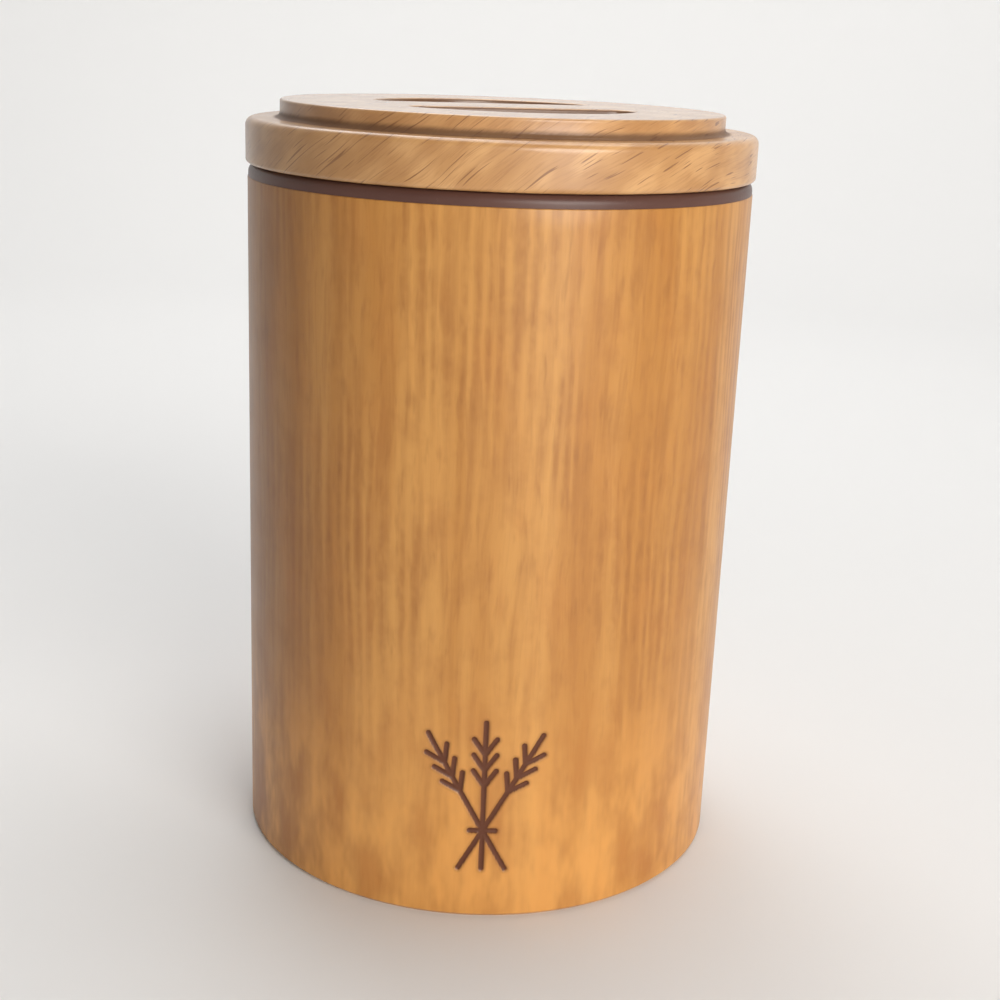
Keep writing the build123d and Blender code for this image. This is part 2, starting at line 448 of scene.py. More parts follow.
def sealMaterial():
    material, bench = newMaterial("softSeal")
    x, y, z, _ = objectPlace(bench)
    dust = solidGrain(bench, (x, y, z), (3.0, 3.0, 1.5), 3.0, 0.65)
    colour = bench.blend(bench.fade(dust, 0.4, 0.7), rubber["clean"], rubber["dusty"])
    finishMaterial(bench, colour, 0.55 + dust * 0.15, dust, 0.06)
    return material


steel = {"bright": tone(196, 192, 178), "dull": tone(150, 143, 126)}


def screwMaterial():
    material, bench = newMaterial("platedSteel")
    x, y, z, _ = objectPlace(bench)
    wear = solidGrain(bench, (x, y, z), (1.2, 1.2, 1.2), 3.0, 0.6)
    colour = bench.blend(bench.fade(wear, 0.4, 0.7), steel["bright"], steel["dull"])
    finishMaterial(bench, colour, 0.3 + wear * 0.2, wear, 0.03, Metallic=1.0)
    return material


finishes = {
    "veneer": veneerMaterial(),
    "lidTimber": lidTimberMaterial(),
    "plugTimber": plugTimberMaterial(),
    "tubePly": plyMaterial("tubePlywood", "radius"),
    "basePly": plyMaterial("basePlywood", "z"),
    "plastic": plasticMaterial(),
    "seal": sealMaterial(),
    "screw": screwMaterial(),
}
print("materials made:", len(finishes))


# welding distances in millimetres; an edge is shaded sharp from this many degrees
meshing = {"latheWeld": 0.002, "weld": 0.001, "sharpAngle": 38.0}


def addObject(name, mesh):
    piece = bpy.data.objects.new(name, mesh)
    bpy.context.scene.collection.objects.link(piece)
    return piece


def rounded(centre, radius, start, end, steps=8):
    # points round an arc in the outline's plane; angles in degrees from the outward direction
    for step in range(steps + 1):
        angle = math.radians(start + (end - start) * step / steps)
        yield (centre[0] + radius * math.cos(angle), centre[1] + radius * math.sin(angle))


def treeInput(group, name, kind):
    group.interface.new_socket(name=name, in_out="INPUT", socket_type="NodeSocket" + kind)


def newTree(name):
    group = bpy.data.node_groups.new(name, "GeometryNodeTree")
    treeInput(group, "Geometry", "Geometry")
    treeInput(group, "Material", "Material")
    group.interface.new_socket(name="Geometry", in_out="OUTPUT", socket_type="NodeSocketGeometry")
    return group, Bench(group)


def groupInput(bench, name):
    return bench.node("NodeGroupInput", None, None, name)


def endTree(bench, geometry):
    # the last steps of every tree
    real = bench.node("GeometryNodeRealizeInstances", None, {"Geometry": geometry}, "Geometry")
    values = {"Geometry": real, "Material": groupInput(bench, "Material")}
    painted = bench.node("GeometryNodeSetMaterial", None, values, "Geometry")
    output = bench.tree.nodes.new("NodeGroupOutput")
    bench.tree.links.new(painted.socket, output.inputs[0])


def latheTree():
    # spins the outline that the mesh's points draw, a row of points for each of them
    group, bench = newTree("turnOnLathe")
    treeInput(group, "Segments", "Int")
    outline = groupInput(bench, "Geometry")
    columns = groupInput(bench, "Segments") + 1.0
    counted = {"Geometry": outline}
    rows = bench.node("GeometryNodeAttributeDomainSize", {"component": "MESH"}, counted, "Point Count")
    grid = bench.node("GeometryNodeMeshGrid", None, {"Vertices X": rows, "Vertices Y": columns}, "Mesh")
    index = bench.node("GeometryNodeInputIndex")
    row = (index / columns).math("FLOOR")
    turn = (index - row * columns) / (columns - 1.0) * math.tau
    position = bench.node("GeometryNodeInputPosition")
    values = {"Geometry": outline, "Value": position, "Index": row}
    point = bench.node("GeometryNodeSampleIndex", {"data_type": "FLOAT_VECTOR"}, values, "Value")
    out, _, up = bench.split(point)
    spun = bench.join(out * turn.math("SINE"), -(out * turn.math("COSINE")), up)
    placed = bench.node("GeometryNodeSetPosition", None, {"Geometry": grid, "Position": spun}, "Geometry")
    values = {"Geometry": placed, "Distance": meshing["latheWeld"] * mm}
    welded = bench.node("GeometryNodeMergeByDistance", None, values, "Geometry")
    endTree(bench, welded)
    return group


def engraveTree():
    # sinks a mark's lines into the front of a tube and keeps each point's distance from them
    group, bench = newTree("engraveMark")
    treeInput(group, "Mark", "Object")
    treeInput(group, "Stroke", "Float")
    treeInput(group, "Depth", "Float")
    treeInput(group, "Skin Radius", "Float")
    body = groupInput(bench, "Geometry")
    lines = bench.node("GeometryNodeObjectInfo", None, {"Object": groupInput(bench, "Mark")}, "Geometry")
    x, y, z = bench.split(bench.node("GeometryNodeInputPosition"))
    values = {"Geometry": lines, "Sample Position": bench.join(x, 0.0, z)}
    near = bench.node("GeometryNodeProximity", {"target_element": "EDGES"}, values, "Distance")
    # the back of the tube counts as far from every line, and the inside stays as it is
    farOff, skinDepth = 50 * mm, 0.2 * mm
    distance = near + y.math("GREATER_THAN", 0.0) * farOff
    out = (x * x + y * y).math("SQRT")
    across = (distance / (groupInput(bench, "Stroke") * 0.5)).math("MINIMUM", 1.0)
    dip = (1.0 - across * across).math("SQRT") * groupInput(bench, "Depth")
    onSkin = (out - groupInput(bench, "Skin Radius") + skinDepth).math("GREATER_THAN", 0.0)
    shrink = 1.0 - dip * onSkin / out
    moved = bench.join(x * shrink, y * shrink, z)
    values = {"Geometry": body, "Name": "markDistance", "Value": distance}
    stored = {"data_type": "FLOAT", "domain": "POINT"}
    kept = bench.node("GeometryNodeStoreNamedAttribute", stored, values, "Geometry")
    placed = bench.node("GeometryNodeSetPosition", None, {"Geometry": kept, "Position": moved}, "Geometry")
    endTree(bench, placed)
    return group


def ringTree():
    # sets copies of one object round a circle, each turned a little further than the last
    group, bench = newTree("setInCircle")
    treeInput(group, "Piece", "Object")
    treeInput(group, "Count", "Int")
    treeInput(group, "Circle", "Float")
    treeInput(group, "Turn", "Float")
    treeInput(group, "Height", "Float")
    treeInput(group, "Twist", "Float")
    values = {"Vertices": groupInput(bench, "Count"), "Radius": groupInput(bench, "Circle")}
    circle = bench.node("GeometryNodeMeshCircle", None, values, "Mesh")
    values = {"Geometry": circle, "Rotation": bench.join(0.0, 0.0, groupInput(bench, "Turn"))}
    values["Translation"] = bench.join(0.0, 0.0, groupInput(bench, "Height"))
    turned = bench.node("GeometryNodeTransform", None, values, "Geometry")
    copy = bench.node("GeometryNodeObjectInfo", None, {"Object": groupInput(bench, "Piece")}, "Geometry")
    index = bench.node("GeometryNodeInputIndex")
    twist = bench.join(0.0, 0.0, index * groupInput(bench, "Twist"))
    values = {"Points": turned, "Instance": copy, "Rotation": twist}
    endTree(bench, bench.node("GeometryNodeInstanceOnPoints", None, values, "Instances"))
    return group


trees = {"lathe": latheTree(), "engrave": engraveTree(), "ring": ringTree()}
print("geometry trees made:", len(trees))


def runTree(piece, tree, **inputs):
    # runs a tree on a piece and leaves the result as its plain mesh
    modifier = piece.modifiers.new(tree, "NODES")
    modifier.node_group = trees[tree]
    for name, value in inputs.items():
        modifier[trees[tree].interface.items_tree[name.replace("_", " ")].identifier] = value
    bpy.context.view_layer.update()
    shape = piece.evaluated_get(bpy.context.evaluated_depsgraph_get())
    made = bpy.data.meshes.new_from_object(shape)
    piece.modifiers.remove(modifier)
    piece.data = made
    return piece


def tidy(piece):
    # welds, points the faces outwards and shades smooth up to an angle
    work = bmesh.new()
    work.from_mesh(piece.data)
    bmesh.ops.remove_doubles(work, verts=work.verts, dist=meshing["weld"] * mm)
    bmesh.ops.recalc_face_normals(work, faces=work.faces)
    if work.calc_volume(signed=True) < 0:
        bmesh.ops.reverse_faces(work, faces=work.faces)
    for face in work.faces:
        face.smooth = True
    openEdges = sum(1 for edge in work.edges if not edge.is_manifold)
    work.to_mesh(piece.data)
    work.free()
    piece.data.set_sharp_from_angle(angle=math.radians(meshing["sharpAngle"]))
    print(piece.name, "faces", len(piece.data.polygons), "open edges", openEdges)
    return piece


def onLathe(name, outline, finish, segments=160):
    # a turned piece from its outline in millimetres
    mesh = bpy.data.meshes.new(name)
    mesh.from_pydata([(out * mm, 0.0, up * mm) for out, up in outline], [], [])
    piece = runTree(addObject(name, mesh), "lathe", Segments=segments, Material=finishes[finish])
    return tidy(piece)


def finished(work, name, finish):
    # a built mesh as a piece in its material
    mesh = bpy.data.meshes.new(name)
    work.to_mesh(mesh)
    work.free()
    mesh.materials.append(finishes[finish])
    return tidy(addObject(name, mesh))


def place(piece, body, node, slot):
    # puts a piece on its body, in place of its CAD node
    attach(piece, body)
    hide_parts(node)
    return piece


mark = {
    "centre": 2.0,
    "foot": 17.0,
    "depth": 0.6,
    "stroke": 1.8,
    "tieHeight": 13.0,
    "tieWidth": 8.0,
    "stalkLength": 36.0,
    "stalkLeans": (-29.0, 0.0, 29.0),
    "earStart": 15.0,
    "grainPairs": 3,
    "grainPitch": 5.2,
    "grainLength": 6.2,
    "grainLean": 34.0,
}


def slanted(start, lean, length):
    # where a straight line of the mark ends, by its lean from upright
    angle = math.radians(lean)
    return start + length * Vector((math.sin(angle), math.cos(angle)))


def markLines():
    # a sheaf: the tie, then each stalk with its pairs of grains
    tie = Vector((mark["centre"], mark["foot"] + mark["tieHeight"]))
    half = Vector((mark["tieWidth"] / 2, 0.0))
    lines = [(tie - half, tie + half)]
    for lean in mark["stalkLeans"]:
        below = -mark["tieHeight"] / math.cos(math.radians(lean))
        lines.append((slanted(tie, lean, below), slanted(tie, lean, mark["stalkLength"])))
        for pair in range(mark["grainPairs"]):
            root = slanted(tie, lean, mark["earStart"] + pair * mark["grainPitch"])
            for side in (-1, 1):
                lines.append((root, slanted(root, lean + side * mark["grainLean"], mark["grainLength"])))
    return lines


def markObject():
    # the mark's lines as loose edges, flat in the plane that the front faces
    points, edges = [], []
    for line in markLines():
        edges.append((len(points), len(points) + 1))
        points += [(point.x * mm, 0.0, point.y * mm) for point in line]
    mesh = bpy.data.meshes.new("markLines")
    mesh.from_pydata(points, edges, [])
    return addObject("markLines", mesh)


skin = {
    "footBevel": 1.2,
    "mouthRound": 0.4,
    "seamGap": 0.2,
    "fine": 0.35,
    "coarse": 3.2,
    "footStep": 2.0,
    "plainStep": 6.0,
    "insideStep": 24.0,
    "markReach": 31.0,
    "markLow": 13.0,
    "markHigh": 69.0,
}


def spread(low, high, step):
    # evenly spaced values about a step apart, without the high end itself
    count = max(1, round((high - low) / step))
    return [low + (high - low) * number / count for number in range(count)]


def veneerColumns():
    # how far round each column of points stands, close together only across the mark
    radius = tubeRadius / mm
    edge = math.pi - math.asin(skin["seamGap"] / 2 / radius)
    left = (mark["centre"] - skin["markReach"]) / radius
    right = (mark["centre"] + skin["markReach"]) / radius
    coarse, fine = skin["coarse"] / radius, skin["fine"] / radius
    return spread(-edge, left, coarse) + spread(left, right, fine) + spread(right, edge, coarse) + [edge]


def veneerLoop():
    # the veneer's section: up the outside, over the mouth, down the inside and back by the foot
    outer, inner = tubeRadius / mm, coreRadius / mm
    top, bevel, curve = tubeTop / mm, skin["footBevel"], skin["mouthRound"]
    levels = spread(bevel, skin["markLow"], skin["footStep"])
    levels += spread(skin["markLow"], skin["markHigh"], skin["fine"])
    levels += spread(skin["markHigh"], top - curve, skin["plainStep"])
    loop = [(outer, level) for level in levels]
    loop += list(rounded((outer - curve, top - curve), curve, 0, 90, 4))
    levels = spread(bevel - (outer - inner), top, skin["insideStep"]) + [top]
    loop += [(inner, level) for level in reversed(levels)]
    return loop


def makeFaceVeneer():
    # a tube slit at the back, so its section is swept round and closed at both ends
    columns, loop = veneerColumns(), veneerLoop()
    points, faces = [], []
    for angle in columns:
        outward = (mm * math.sin(angle), -mm * math.cos(angle))
        points += [(out * outward[0], out * outward[1], up * mm) for out, up in loop]
    count = len(loop)
    for column in range(len(columns) - 1):
        for step in range(count):
            here, beside = column * count + step, (column + 1) * count + step
            after = (step + 1) % count - step
            faces.append((here, beside, beside + after, here + after))
    faces.append(tuple(range(count)))
    faces.append(tuple(reversed(range((len(columns) - 1) * count, len(columns) * count))))
    mesh = bpy.data.meshes.new("faceVeneer")
    mesh.from_pydata(points, [], faces)
    lines = markObject()
    piece = runTree(
        addObject("faceVeneer", mesh), "engrave", Mark=lines, Stroke=mark["stroke"] * mm,
        Depth=mark["depth"] * mm, Skin_Radius=tubeRadius, Material=finishes["veneer"])
    bpy.data.objects.remove(lines)
    return tidy(piece)


place(makeFaceVeneer(), "wooden_body", "face_veneer", "face_wood")
print("face veneer made")


tube = {"foot": 0.2, "rabbetTop": 8.0, "rabbetRadius": 76.5, "bore": 74.0, "mouthRound": 0.4}


def makeCorePly():
    outer, inner, top = coreRadius / mm, innerRadius / mm, tubeTop / mm
    foot, rabbet = tube["foot"], tube["rabbetRadius"]
    outline = [(rabbet, 0.0), (outer - foot, 0.0), (outer, foot), (outer, top), (inner, top)]
    outline += [(inner, tube["rabbetTop"]), (rabbet, tube["rabbetTop"]), (rabbet, 0.0)]
    return onLathe("corePly", outline, "tubePly")


def makeInnerPly():
    outer, inner, top, curve = innerRadius / mm, tube["bore"], tubeTop / mm, tube["mouthRound"]
    outline = [(inner, tube["rabbetTop"]), (outer, tube["rabbetTop"]), (outer, top)]
    outline += list(rounded((inner + curve, top - curve), curve, 90, 180, 4))
    outline += [(inner, tube["rabbetTop"])]
    return onLathe("innerPly", outline, "tubePly")


def makeBasePanel():
    low, high = heights("base_panel")
    outer = reach("base_panel") / mm
    outline = [(0.0, low), (outer, low), (outer, high), (0.0, high)]
    return onLathe("basePanel", outline, "basePly")


place(makeCorePly(), "wooden_body", "core_ply", "ply_wood")
place(makeInnerPly(), "wooden_body", "inner_ply", "ply_wood")
place(makeBasePanel(), "wooden_body", "base_panel", "ply_wood")
print("plies and base made")


liner = {
    "wall": 1.8,
    "radius": 73.3,
    "draft": 0.5,
    "corner": 6.0,
    "rimRound": 2.9,
    "mouthRound": 0.8,
    "segments": 192,
}


def makeLiner():
    low, top = heights("liner")
    seat = tubeTop / mm
    wall, corner, draft = liner["wall"], liner["corner"], math.tan(math.radians(liner["draft"]))
    cavity = top - wall
    foot = liner["radius"] - draft * (cavity - low)
    rim = reach("liner") / mm
    lip = rim - wall
    mouth = liner["radius"] - wall
    inside = corner - wall
    curve, soft = liner["rimRound"], liner["mouthRound"]
    outline = [(0.0, low)]
    outline += list(rounded((foot - corner, low + corner), corner, -90, 0, 10))
    outline += [(liner["radius"], cavity), (lip, cavity), (lip, seat), (rim, seat)]
    outline += list(rounded((rim - curve, top - curve), curve, 0, 90, 12))
    outline += list(rounded((mouth + soft, top - soft), soft, 90, 180, 6))
    outline += list(rounded((foot - wall - inside, low + wall + inside), inside, 0, -90, 10))
    outline.append((0.0, low + wall))
    return onLathe("linerTub", outline, "plastic", liner["segments"])


place(makeLiner(), "liner", "liner", "liner_plastic")
print("liner made")


lid = {
    "footRound": 1.3,
    "stepInset": 10.6,
    "stepHeight": 5.7,
    "shoulderRound": 2.5,
    "cove": 1.8,
    "topRound": 0.8,
    "segments": 192,
    "net": 3.2,
    "undersideRings": (30.0, 60.0),
    "band": 0.4,
    "wallBand": 0.5,
    "edgeBand": 0.3,
}
grip = {
    "radius": 42.0,
    "bar": 26.5,
    "turn": 21.0,
    "corner": 5.5,
    "depth": 11.5,
    "edge": 1.0,
    "floor": 2.5,
}


def pocketOutline(inset, side):
    # the D of one pocket, drawn inset from its wall
    half, corner = grip["bar"] / 2, grip["corner"]
    centreUp = half + corner
    centreOut = math.sqrt((grip["radius"] - corner) ** 2 - centreUp ** 2)
    lean = math.degrees(math.atan2(centreUp, centreOut))
    flat = half + inset
    straight = 24
    points = [(-centreOut + 2 * centreOut * step / straight, flat) for step in range(straight)]
    points += list(rounded((centreOut, centreUp), corner - inset, -90, lean, 12))[:-1]
    points += list(rounded((0.0, 0.0), grip["radius"] - inset, lean, 180 - lean, 48))[:-1]
    points += list(rounded((-centreOut, centreUp), corner - inset, 180 - lean, 270, 12))[:-1]
    turn = Matrix.Rotation(math.radians(grip["turn"]), 2)
    return [turn @ Vector((out * side, up * side)) for out, up in points]


def fillFlat(work, rims, height, inside, step):
    # an even net of triangles between closed rims of points, at one height
    points, edges, corners = [], [], []
    for rim in rims:
        start = len(points)
        points += [Vector((vert.co.x, vert.co.y)) for vert in rim]
        edges += [(start + n, start + (n + 1) % len(rim)) for n in range(len(rim))]
        corners += rim
    span = max(point.length for point in points)
    rowHeight = 0.866
    rows = int(span / step / rowHeight) + 1
    for row in range(-rows, rows + 1):
        for column in range(-rows, rows + 1):
            spot = Vector(((column + 0.5 * (row % 2)) * step, row * step * rowHeight))
            if inside(spot, step * 0.6):
                points.append(spot)
                corners.append(work.verts.new((spot.x, spot.y, height)))
    result = delaunay_2d_cdt(points, edges, [], 0, 1e-9)
    origin = [sources[0] if sources else None for sources in result[3]]
    for face in result[2]:
        spots = [result[0][n] for n in face]
        middle = sum(spots, Vector((0.0, 0.0))) / len(face)
        thin = abs((spots[1] - spots[0]).cross(spots[2] - spots[0])) < 1e-4 * step * step
        if inside(middle, 0.0) and not thin:
            work.faces.new([corners[origin[n]] for n in face])


def circleOf(radius, steps, centre=(0.0, 0.0)):
    turns = [math.tau * n / steps for n in range(steps)]
    return [(centre[0] + radius * math.sin(turn), centre[1] - radius * math.cos(turn)) for turn in turns]


def addRim(work, points, height):
    return [work.verts.new((point[0], point[1], height)) for point in points]


def stitch(work, first, second):
    # a band of faces between two rims with as many points each
    count = len(first)
    for n in range(count):
        after = (n + 1) % count
        work.faces.new((first[n], first[after], second[after], second[n]))


def inPolygon(polygon, spot, margin):
    # is the spot inside, and at least the margin away from the outline
    points = np.array([(p[0], p[1]) for p in polygon])
    after = np.roll(points, -1, axis=0)
    crosses = (points[:, 1] > spot.y) != (after[:, 1] > spot.y)
    slope = (after[:, 0] - points[:, 0]) / np.where(crosses, after[:, 1] - points[:, 1], 1.0)
    hits = crosses & (spot.x < points[:, 0] + slope * (spot.y - points[:, 1]))
    inner = bool(hits.sum() % 2)
    if margin <= 0:
        return inner
    gap = np.hypot(points[:, 0] - spot.x, points[:, 1] - spot.y).min()
    return inner and gap > margin


def clearOf(polygon, spot, margin):
    # is the spot outside, and at least the margin away from the outline
    if inPolygon(polygon, spot, 0.0):
        return False
    points = np.array([(p[0], p[1]) for p in polygon])
    return margin <= 0 or np.hypot(points[:, 0] - spot.x, points[:, 1] - spot.y).min() > margin


def turnedWithPockets(name, outline, pockets, step, finish, segments):
    # a turned solid whose last ring is closed by a flat face with pockets sunk in it
    work = bmesh.new()
    middle = work.verts.new((0.0, 0.0, outline[0][1]))
    rings = [addRim(work, circleOf(out, segments), up) for out, up in outline[1:]]
    for n in range(segments):
        work.faces.new((middle, rings[0][n], rings[0][(n + 1) % segments]))
    for first, second in zip(rings, rings[1:]):
        stitch(work, first, second)
    face = outline[-1][1]
    mouths = []
    for pocket in pockets:
        rims = [addRim(work, points, height) for points, height in pocket]
        for first, second in zip(rims, rims[1:]):
            stitch(work, first, second)
        floor = pocket[-1][0]
        fillFlat(work, [rims[-1]], pocket[-1][1], lambda spot, gap: inPolygon(floor, spot, gap), step)
        mouths.append((rims[0], pocket[0][0]))
    edge = outline[-1][0]

    def onFace(spot, gap):
        return spot.length < edge - gap and all(clearOf(points, spot, gap) for _, points in mouths)

    fillFlat(work, [rings[-1]] + [rim for rim, _ in mouths], face, onFace, step)
    return finished(work, name, finish)


def mouthCurve(radius, top, steps=6):
    # a quarter round from a flat face into a wall: how far in, and at which height
    for step in range(steps + 1):
        angle = math.radians(90 * step / steps)
        yield (radius * math.sin(angle), top - radius + radius * math.cos(angle))


def pocketLevels(top):
    # a pocket's wall from its mouth to its floor: how far inset, and at which height
    edge, floor, deep = grip["edge"], grip["floor"], top - grip["depth"]
    levels = [(-edge - lid["edgeBand"], top)]
    levels += [(-edge + out, up) for out, up in mouthCurve(edge, top)]
    levels += [(0.0, top - grip["depth"] / 2)]
    levels += [(floor - out, up) for out, up in rounded((0.0, deep + floor), floor, 0, -90, 8)]
    levels += [(floor + lid["band"], deep)]
    return levels


def makeLidBoard():
    low, top = rimTop / mm, lidTop / mm
    outer = reach("lid_board") / mm
    inner, shoulder = outer - lid["stepInset"], top - lid["stepHeight"]
    foot, curve, cove, edge = lid["footRound"], lid["shoulderRound"], lid["cove"], lid["topRound"]
    outline = [(0.0, low)]
    outline += [(out, low) for out in (*lid["undersideRings"], outer - foot - lid["band"])]
    outline += list(rounded((outer - foot, low + foot), foot, -90, 0, 6))
    outline += [(outer, low + foot + lid["wallBand"]), (outer, shoulder - curve - lid["wallBand"])]
    outline += list(rounded((outer - curve, shoulder - curve), curve, 0, 90, 10))
    outline += [(outer - curve - lid["band"], shoulder), (inner + cove + lid["band"], shoulder)]
    outline += list(rounded((inner + cove, shoulder + cove), cove, 270, 180, 8))
    outline += [(inner, top - edge - lid["edgeBand"])]
    outline += list(rounded((inner - edge, top - edge), edge, 0, 90, 6))
    outline += [(inner - edge - lid["band"], top)]
    pockets = []
    for side in (-1, 1):
        rims = [(pocketOutline(inset, side), up) for inset, up in pocketLevels(top)]
        pockets.append([([point * mm for point in points], up * mm) for points, up in rims])
    outline = [(out * mm, up * mm) for out, up in outline]
    return turnedWithPockets("lidBoard", outline, pockets, lid["net"] * mm, "lidTimber", lid["segments"])


place(makeLidBoard(), "lid", "lid_board", "lid_wood")
print("lid board made")


under = {
    "chamfer": 1.0,
    "grooveRadius": 68.1,
    "groovePlay": 0.1,
    "sealHole": 68.2,
    "sealLip": 0.9,
    "sealSegments": 192,
    "circle": 55.0,
    "turn": 45.0,
    "count": 4,
    "headPlay": 0.1,
    "neckRadius": 1.9,
    "softEdge": 0.2,
    "twist": 1.1,
    "netAbove": 6.0,
    "netBelow": 4.0,
    "segments": 160,
    "holeSegments": 32,
}
screw = {
    "head": 3.5,
    "shank": 1.75,
    "root": 1.25,
    "length": 16.0,
    "tip": 2.5,
    "pitch": 1.5,
    "crossSpan": 3.6,
    "crossWidth": 0.9,
    "crossDepth": 1.4,
    "crossTaper": (0.55, 0.7),
    "headEdge": 0.15,
    "threadStep": 0.15,
    "threadStart": 0.6,
    "ridgeSlope": 3.2,
    "netFloor": 0.5,
    "netHead": 0.9,
    "segments": 32,
}


def screwCentres():
    for number in range(under["count"]):
        angle = math.radians(under["turn"] + 360 * number / under["count"])
        yield Vector((math.cos(angle), math.sin(angle))) * under["circle"] * mm


def makeLidPlug():
    # a grooved disc with a countersunk hole right through for each screw
    low, high = heights("lid_plug")
    sealLow, sealHigh = heights("lid_seal")
    outer, groove, play = reach("lid_plug") / mm, under["grooveRadius"], under["groovePlay"]
    soft, chamfer = under["softEdge"], under["chamfer"]
    outline = [(outer - soft, high), (outer, high - soft)]
    outline += [(outer, sealHigh + play), (groove, sealHigh + play)]
    outline += [(groove, sealLow - play), (outer, sealLow - play)]
    outline += [(outer, low + chamfer), (outer - chamfer, low)]
    work = bmesh.new()
    rings = [addRim(work, circleOf(out * mm, under["segments"]), up * mm) for out, up in outline]
    for first, second in zip(rings, rings[1:]):
        stitch(work, first, second)
    mouth, neck = screw["head"] + under["headPlay"], under["neckRadius"]
    levels = [(mouth, low), (neck, low + mouth - neck), (neck, high)]
    centres = list(screwCentres())
    tops, mouths = [], []
    for centre in centres:
        holes = [circleOf(out * mm, under["holeSegments"], centre) for out, _ in levels]
        rims = [addRim(work, hole, level[1] * mm) for hole, level in zip(holes, levels)]
        for first, second in zip(rims, rims[1:]):
            stitch(work, first, second)
        mouths.append(rims[0])
        tops.append(rims[-1])

    def clear(edge, hole):
        def inside(spot, gap):
            away = min((spot - centre).length for centre in centres)
            return spot.length < edge * mm - gap and away > hole * mm + gap
        return inside

    above, below = under["netAbove"] * mm, under["netBelow"] * mm
    fillFlat(work, [rings[0]] + tops, high * mm, clear(outer - soft, neck), above)
    fillFlat(work, [rings[-1]] + mouths, low * mm, clear(outer - chamfer, mouth), below)
    return finished(work, "lidPlug", "plugTimber")


def makeLidSeal():
    low, high = heights("lid_seal")
    outer, hole, lip = reach("lid_seal") / mm, under["sealHole"], under["sealLip"]
    outline = [(hole, low)]
    outline += list(rounded((outer - lip, low + lip), lip, -90, 0, 8))
    outline += list(rounded((outer - lip, high - lip), lip, 0, 90, 8))
    outline += [(hole, high), (hole, low)]
    return onLathe("lidSeal", outline, "seal", under["sealSegments"])


def crossOutline(span, width):
    # a plus sign, one arm after another
    points = []
    for quarter in range(4):
        turn = Matrix.Rotation(math.radians(90 * quarter), 2)
        arm = [(span / 2, -width / 2), (span / 2, width / 2), (width / 2, width / 2)]
        points += [turn @ Vector(corner) for corner in arm]
    return points


def threadRadius(up, turn):
    # the screw's radius at a height and a turn round it: a narrow ridge that climbs
    full, length = screw["shank"], screw["length"]
    start = screw["head"] - full + screw["threadStart"]
    taper = min(1.0, (length - up) / screw["tip"])
    if up < start:
        return full
    ridge = 1.0 - screw["ridgeSlope"] * abs((up / screw["pitch"] - turn / math.tau) % 1.0 - 0.5)
    return (screw["root"] + (full - screw["root"]) * max(0.0, ridge)) * taper


def screwMesh():
    # one screw, head down: its edge, cone, thread, point and cross recess
    head, shank, count, edge = screw["head"], screw["shank"], screw["segments"], screw["headEdge"]
    step = screw["threadStep"]
    work = bmesh.new()
    cone = [(head - edge, 0.0), (head, edge), (shank, head - shank)]
    rings = [addRim(work, circleOf(out * mm, count), up * mm) for out, up in cone]
    turns = [math.tau * n / count for n in range(count)]
    for up in spread(head - shank + step, screw["length"] - step, step):
        outs = [threadRadius(up, turn) * mm for turn in turns]
        row = [(out * math.sin(turn), -out * math.cos(turn)) for out, turn in zip(outs, turns)]
        rings.append(addRim(work, row, up * mm))
    for first, second in zip(rings, rings[1:]):
        stitch(work, first, second)
    point = work.verts.new((0.0, 0.0, screw["length"] * mm))
    for n in range(count):
        work.faces.new((rings[-1][n], rings[-1][(n + 1) % count], point))
    span, width, depth = screw["crossSpan"], screw["crossWidth"], screw["crossDepth"]
    spanTaper, widthTaper = screw["crossTaper"]
    mouth = [corner * mm for corner in crossOutline(span, width)]
    floor = [corner * mm for corner in crossOutline(span * spanTaper, width * widthTaper)]
    rims = [addRim(work, mouth, 0.0), addRim(work, floor, depth * mm)]
    stitch(work, rims[0], rims[1])

    def onFloor(spot, gap):
        return inPolygon(floor, spot, gap)

    def onHead(spot, gap):
        return spot.length < (head - edge) * mm - gap and clearOf(mouth, spot, gap)

    fillFlat(work, [rims[1]], depth * mm, onFloor, screw["netFloor"] * mm)
    fillFlat(work, [rings[0], rims[0]], 0.0, onHead, screw["netHead"] * mm)
    return finished(work, "screwPattern", "screw")


def makePlugScrews():
    pattern = screwMesh()
    piece = addObject("plugScrews", bpy.data.meshes.new("plugScrews"))
    runTree(
        piece, "ring", Piece=pattern, Count=under["count"], Circle=under["circle"] * mm,
        Turn=math.radians(under["turn"]), Height=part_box("plug_screws")[0].z, Twist=under["twist"],
        Material=finishes["screw"])
    bpy.data.objects.remove(pattern)
    return tidy(piece)


place(makeLidPlug(), "lid", "lid_plug", "plug_wood")
place(makeLidSeal(), "seal", "lid_seal", "seal_rubber")
place(makePlugScrews(), "lid", "plug_screws", "screw_steel")
print("pieces under the lid made")


stage = {
    "floor": tone(226, 225, 223),
    "haze": 300.0,
    "flat": 2.0,
    "shift": -0.9,
    "sweep": 0.7,
    "tall": 3.0,
    "segments": 128,
}


def makeStage():
    # a pale floor that curves up into a wall all round
    material, bench = newMaterial("paleFloor")
    x, y, z, _ = objectPlace(bench)
    haze = solidGrain(bench, (x, y, z), (stage["haze"],) * 3)
    finishMaterial(bench, stage["floor"], 0.6 + haze * 0.1)
    line = [(0.0, 0.0), (stage["flat"], 0.0)]
    line += list(rounded((stage["flat"], stage["sweep"]), stage["sweep"], -90, 0, 24))[1:]
    line += [(stage["flat"] + stage["sweep"], stage["tall"])]
    mesh = bpy.data.meshes.new("floor")
    mesh.from_pydata([(out, 0.0, up) for out, up in line], [], [])
    floor = runTree(addObject("floor", mesh), "lathe", Segments=stage["segments"], Material=material)
    floor.data.transform(Matrix.Translation((0.0, stage["shift"], 0.0)))
    for face in floor.data.polygons:
        face.use_smooth = True


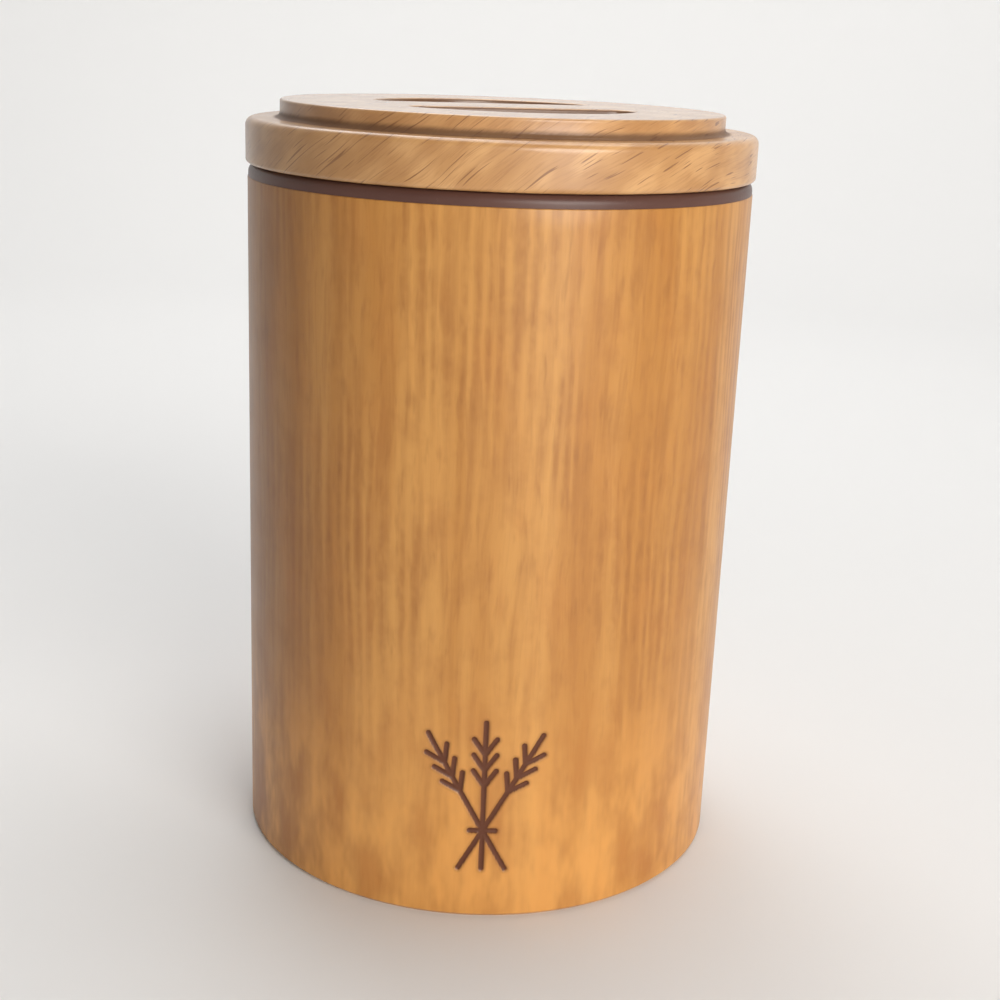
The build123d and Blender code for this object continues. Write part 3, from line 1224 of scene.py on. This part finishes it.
warm, cool = (1.0, 0.97, 0.93), (0.97, 0.98, 1.0)
middle = (0.0, 0.0, 0.12)
lamps = {
    "key": {"place": (0.78, -1.42, 0.66), "aim": middle, "size": 1.1, "power": 24.1, "colour": warm},
    "rear": {"place": (-0.35, 1.0, 1.3), "aim": middle, "size": 0.9, "power": 5.0, "colour": cool},
    "wall": {"place": (0.2, 0.5, 1.9), "aim": (0.2, 1.6, 0.4), "size": 1.6, "power": 24.0, "colour": cool},
    "front": {"place": (0.2, -2.0, 2.3), "aim": (0.2, -3.6, 0.7), "size": 1.6, "power": 15.0, "colour": cool},
}
sky = {"colour": (0.93, 0.95, 1.0, 1.0), "strength": 0.04}


def makeLights():
    for name, lamp in lamps.items():
        light = bpy.data.lights.new(name, "AREA")
        light.shape = "DISK"
        light.size = lamp["size"]
        light.energy = lamp["power"]
        light.color = lamp["colour"]
        holder = bpy.data.objects.new(name, light)
        bpy.context.scene.collection.objects.link(holder)
        holder.location = lamp["place"]
        aim = Vector(lamp["aim"]) - holder.location
        holder.rotation_euler = aim.to_track_quat("-Z", "Y").to_euler()
    world = bpy.data.worlds.new("studio")
    world.use_nodes = True
    background = world.node_tree.nodes["Background"]
    background.inputs["Color"].default_value = sky["colour"]
    background.inputs["Strength"].default_value = sky["strength"]
    bpy.context.scene.world = world


# where the camera stands, in metres, and how it is turned, in degrees
view = {
    "back": 0.5037,
    "up": 0.2635,
    "pitch": 16.76,
    "yaw": 0.45,
    "roll": 2.31,
    "lens": 55.66,
    "sensor": 36.0,
}


def makeCamera():
    pitch, yaw, roll = (math.radians(view[name]) for name in ("pitch", "yaw", "roll"))
    ahead = Vector((math.sin(yaw) * math.cos(pitch), math.cos(yaw) * math.cos(pitch), -math.sin(pitch)))
    right = Vector((math.cos(yaw), -math.sin(yaw), 0.0))
    up = right.cross(ahead)
    across = math.cos(roll) * right + math.sin(roll) * up
    upright = -math.sin(roll) * right + math.cos(roll) * up
    camera = bpy.data.cameras.new("camera")
    camera.lens = view["lens"]
    camera.sensor_width = view["sensor"]
    camera.clip_start = 0.01
    holder = bpy.data.objects.new("camera", camera)
    bpy.context.scene.collection.objects.link(holder)
    turn = Matrix((across, upright, -ahead)).transposed().to_4x4()
    holder.matrix_world = Matrix.Translation((0.0, -view["back"], view["up"])) @ turn
    bpy.context.scene.camera = holder


makeStage()
makeLights()
makeCamera()
bpy.context.scene.view_settings.view_transform = "Standard"
print("stage, lights and camera set")
